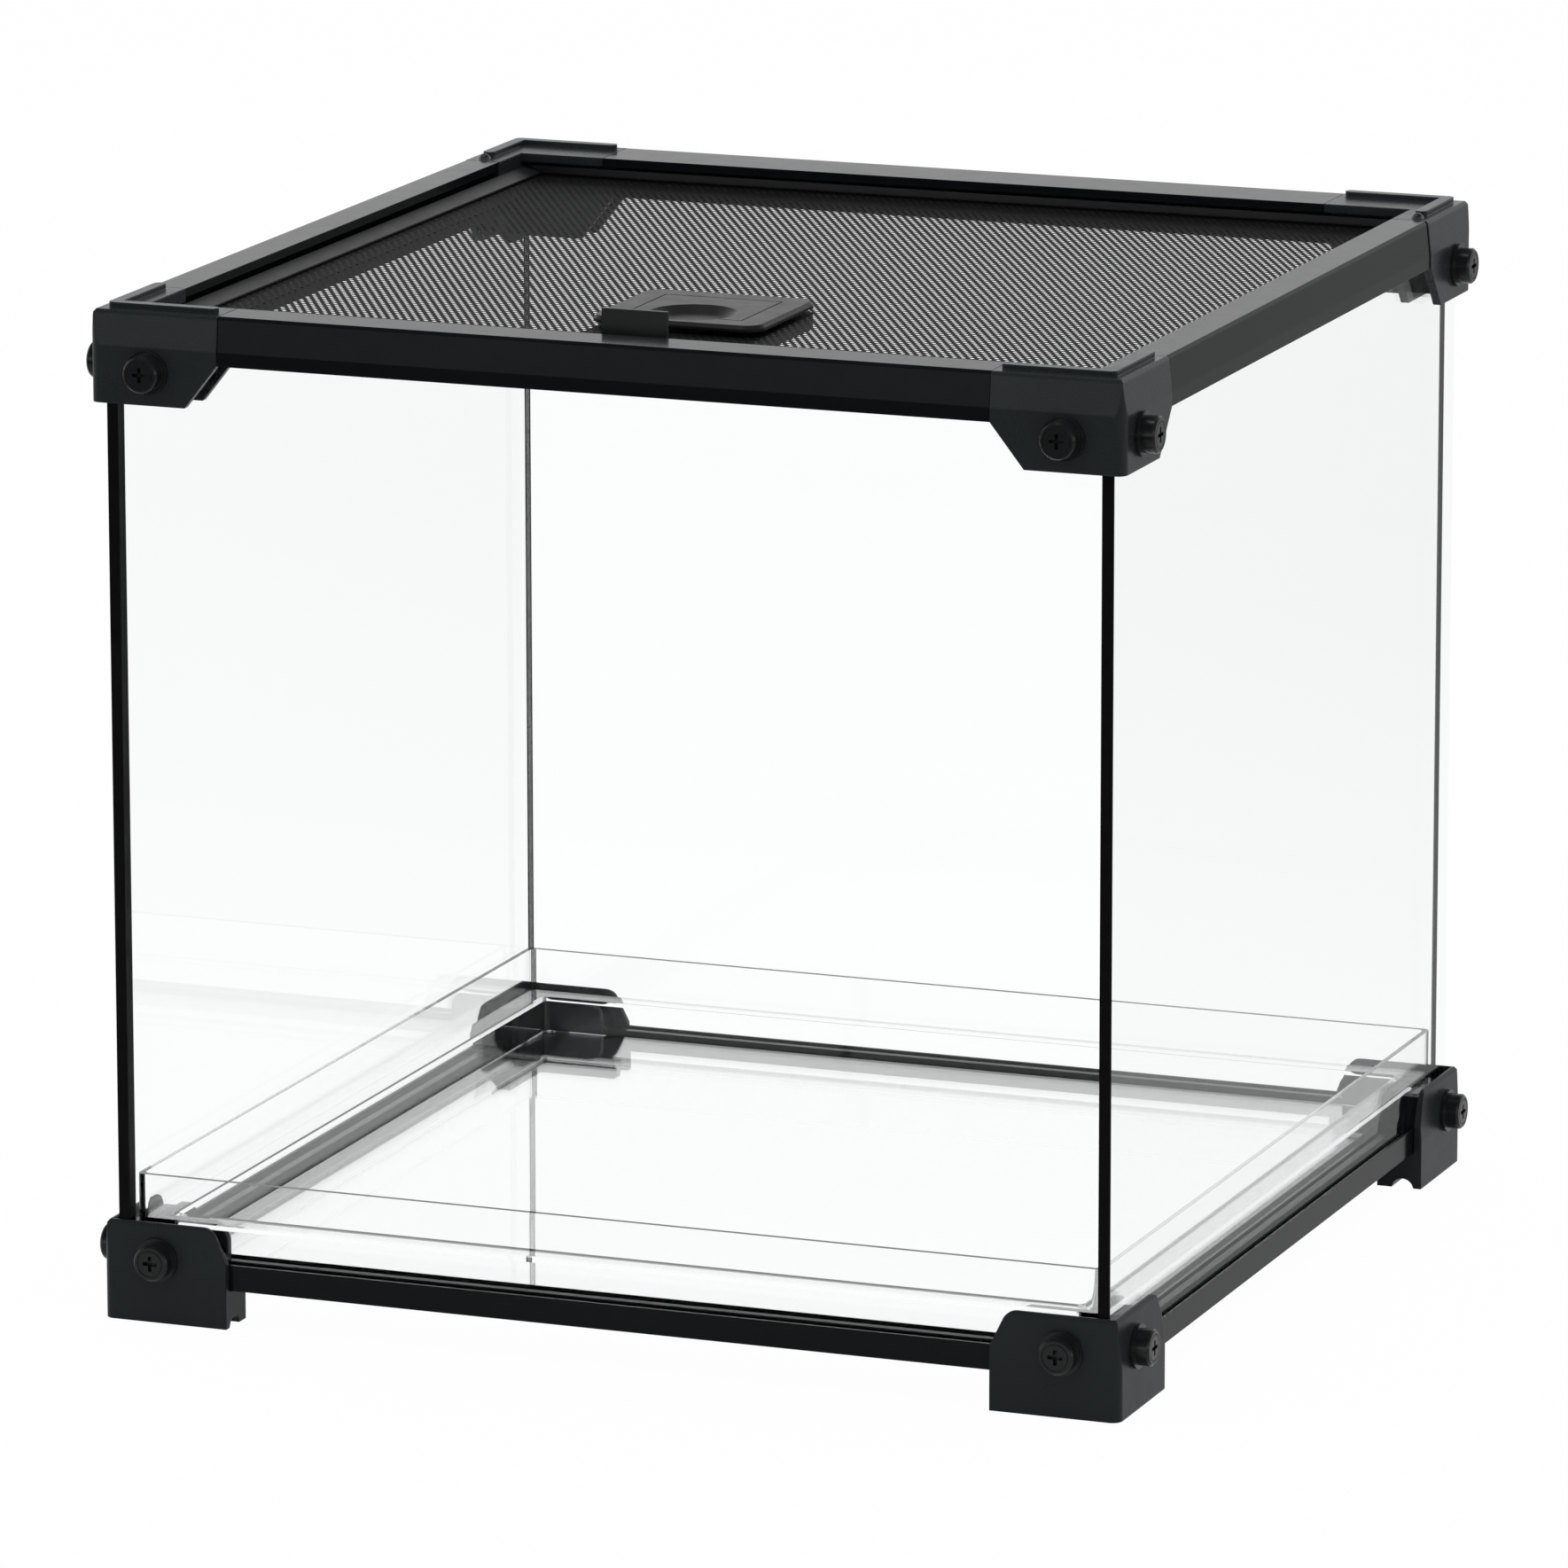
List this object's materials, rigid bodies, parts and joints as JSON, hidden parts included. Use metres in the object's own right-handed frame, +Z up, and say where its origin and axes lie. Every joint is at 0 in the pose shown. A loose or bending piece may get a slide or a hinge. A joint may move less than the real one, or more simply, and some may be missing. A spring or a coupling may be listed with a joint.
{
  "type": "reptile terrarium",
  "caption": "Square glass terrarium with black screwed corner pieces and rails, a clear inner tray, and a hinged screen lid with a slide latch and lift tab.",
  "frame": {"origin": "centre of the footprint on the ground, midway between the screw heads of opposite sides", "axes": "+Z up, -Y out of the front where the latch is, +X to the right seen from the front"},
  "size_m": [0.3208, 0.3208, 0.3],
  "materials": {
    "frame_black": "satin",
    "screw_black": "satin",
    "lid_black": "satin",
    "latch_black": "satin",
    "screen_metal": "black powder coat",
    "dark_screw": "blackened steel",
    "nut_steel": "zinc plated",
    "seal_black": "silicone",
    "wall_glass": "clear float glass",
    "tray_clear": "clear moulded plastic"
  },
  "bodies": {
    "tank": {"top_corner_front_left": "frame_black", "top_corner_front_right": "frame_black", "top_corner_back_left": "frame_black", "top_corner_back_right": "frame_black", "foot_front_left": "frame_black", "foot_front_right": "frame_black", "foot_back_left": "frame_black", "foot_back_right": "frame_black", "top_rail_front": "frame_black", "top_rail_right": "frame_black", "top_rail_back": "frame_black", "top_rail_left": "frame_black", "bottom_rail_front": "frame_black", "bottom_rail_right": "frame_black", "bottom_rail_back": "frame_black", "bottom_rail_left": "frame_black", "glass_wall_front": "wall_glass", "glass_wall_right": "wall_glass", "glass_wall_back": "wall_glass", "glass_wall_left": "wall_glass", "thumb_screws_front": "screw_black", "thumb_screws_right": "screw_black", "thumb_screws_back": "screw_black", "thumb_screws_left": "screw_black", "corner_seal_front_left": "seal_black", "corner_seal_front_right": "seal_black", "corner_seal_back_left": "seal_black", "corner_seal_back_right": "seal_black", "glass_gaskets": "seal_black", "captive_nuts": "nut_steel", "roof_screws": "dark_screw", "base_panel": "wall_glass", "substrate_tray": "tray_clear"},
    "lid": {"lid_frame": "lid_black", "lid_screen": "screen_metal", "screen_retainer": "lid_black", "hinge_pins": "nut_steel", "latch_housing": "lid_black", "lift_tab": "lid_black"},
    "latch": {"latch_slider": "latch_black", "latch_bolt": "latch_black"}
  },
  "joints": [
    {"name": "lid_hinge", "type": "hinge", "parent": "tank", "child": "lid", "pos_m": [0, 0.1294, 0.288], "axis": [-1, 0, 0], "range_deg": [0, 95]},
    {"name": "latch_slide", "type": "slide", "parent": "lid", "child": "latch", "axis": [0, -1, 0], "range_m": [0, 0.0042]}
  ]
}
